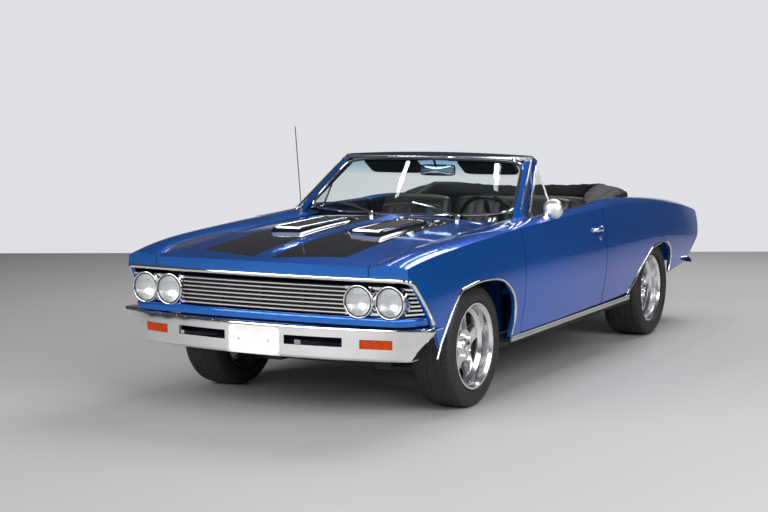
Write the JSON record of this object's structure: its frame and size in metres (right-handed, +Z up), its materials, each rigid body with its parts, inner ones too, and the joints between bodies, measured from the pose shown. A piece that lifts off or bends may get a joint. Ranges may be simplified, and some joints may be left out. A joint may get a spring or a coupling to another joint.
{
  "type": "open two-door muscle car",
  "caption": "Mid-sixties two-door muscle car, convertible with the top folded: blue with black hood stripes, chrome bumpers, four round lamps and five-spoke wheels.",
  "frame": {"origin": "on the ground under the middle of the car's length and width", "axes": "+X to the car's left, +Y to its rear, +Z up"},
  "size_m": [1.9, 5.004, 1.4744],
  "materials": {
    "paint": "gloss metallic blue",
    "bright": "polished",
    "glass": "clear, tinted at the top",
    "lamp_glass": "ribbed clear glass",
    "amber": "ribbed lens",
    "red_lens": "ribbed lens",
    "tyre": "matt",
    "alloy": "polished",
    "black_steel": "satin black",
    "exhaust_steel": "dull",
    "floor_black": "satin black",
    "black_vinyl": "satin vinyl",
    "black_trim": "satin"
  },
  "bodies": {
    "body": {"frame": "black_steel", "floor": "floor_black", "cowl": "paint", "fender_left": "paint", "fender_right": "paint", "inner_fenders": "black_steel", "front_panel": "paint", "grille": "bright", "headlamps": "lamp_glass", "front_bumper": "bright", "signal_lamps": "amber", "screen_frame": "bright", "windscreen": "glass", "wipers": "bright", "antenna": "bright", "quarter_left": "paint", "quarter_right": "paint", "deck_strip": "paint", "tail_panel": "paint", "tail_lamps": "red_lens", "rear_bumper": "bright", "seats": "black_vinyl", "dashboard": "black_trim", "folded_top": "black_vinyl", "engine": "black_steel", "front_suspension": "black_steel", "rear_axle": "black_steel", "exhaust": "exhaust_steel", "fuel_tank": "black_steel"},
    "hood": {"hood": "paint"},
    "trunk_lid": {"trunk_lid": "paint"},
    "door_left": {"door_left": "paint", "vent_window_left": "bright", "door_mirror": "bright"},
    "door_right": {"door_right": "paint", "vent_window_right": "bright"},
    "steering_wheel": {"steering_wheel": "black_trim"},
    "knuckle_left": {"knuckle_left": "black_steel"},
    "knuckle_right": {"knuckle_right": "black_steel"},
    "wheel_front_left": {"rim_front_left": "alloy", "tyre_front_left": "tyre"},
    "wheel_front_right": {"rim_front_right": "alloy", "tyre_front_right": "tyre"},
    "wheel_rear_left": {"rim_rear_left": "alloy", "tyre_rear_left": "tyre"},
    "wheel_rear_right": {"rim_rear_right": "alloy", "tyre_rear_right": "tyre"}
  },
  "joints": [
    {"name": "hood_open", "type": "hinge", "parent": "body", "child": "hood", "pos_m": [0, -1.052, 0.90814], "axis": [-1, 0, 0], "range_deg": [0, 55]},
    {"name": "trunk_open", "type": "hinge", "parent": "body", "child": "trunk_lid", "pos_m": [0, 1.16, 0.94697], "axis": [1, 0, 0], "range_deg": [0, 70]},
    {"name": "door_left_open", "type": "hinge", "parent": "body", "child": "door_left", "pos_m": [0.9, -1.09, 0.67], "axis": [0, 0, -1], "range_deg": [0, 65]},
    {"name": "door_right_open", "type": "hinge", "parent": "body", "child": "door_right", "pos_m": [-0.9, -1.09, 0.67], "axis": [0, 0, 1], "range_deg": [0, 65]},
    {"name": "steer_left", "type": "hinge", "parent": "body", "child": "knuckle_left", "pos_m": [0.676, -1.642, 0.326], "axis": [0, 0, 1], "range_deg": [-33, 33]},
    {"name": "steer_right", "type": "hinge", "parent": "body", "child": "knuckle_right", "pos_m": [-0.676, -1.642, 0.326], "axis": [0, 0, 1], "range_deg": [-33, 33]},
    {"name": "steering_wheel_turn", "type": "hinge", "parent": "body", "child": "steering_wheel", "pos_m": [0.425, -0.557, 0.88], "axis": [0, 0.8988, 0.4384], "range_deg": [-500, 500]},
    {"name": "wheel_front_left_turn", "type": "hinge", "parent": "knuckle_left", "child": "wheel_front_left", "pos_m": [0.724, -1.642, 0.326], "axis": [1, 0, 0], "continuous": true},
    {"name": "wheel_front_right_turn", "type": "hinge", "parent": "knuckle_right", "child": "wheel_front_right", "pos_m": [-0.724, -1.642, 0.326], "axis": [1, 0, 0], "continuous": true},
    {"name": "wheel_rear_left_turn", "type": "hinge", "parent": "body", "child": "wheel_rear_left", "pos_m": [0.698, 1.279, 0.326], "axis": [1, 0, 0], "continuous": true},
    {"name": "wheel_rear_right_turn", "type": "hinge", "parent": "body", "child": "wheel_rear_right", "pos_m": [-0.698, 1.279, 0.326], "axis": [1, 0, 0], "continuous": true}
  ],
  "couplings": [
    {"joint": "steer_right", "follows": "steer_left", "ratio": 1},
    {"joint": "steering_wheel_turn", "follows": "steer_left", "ratio": 15}
  ]
}
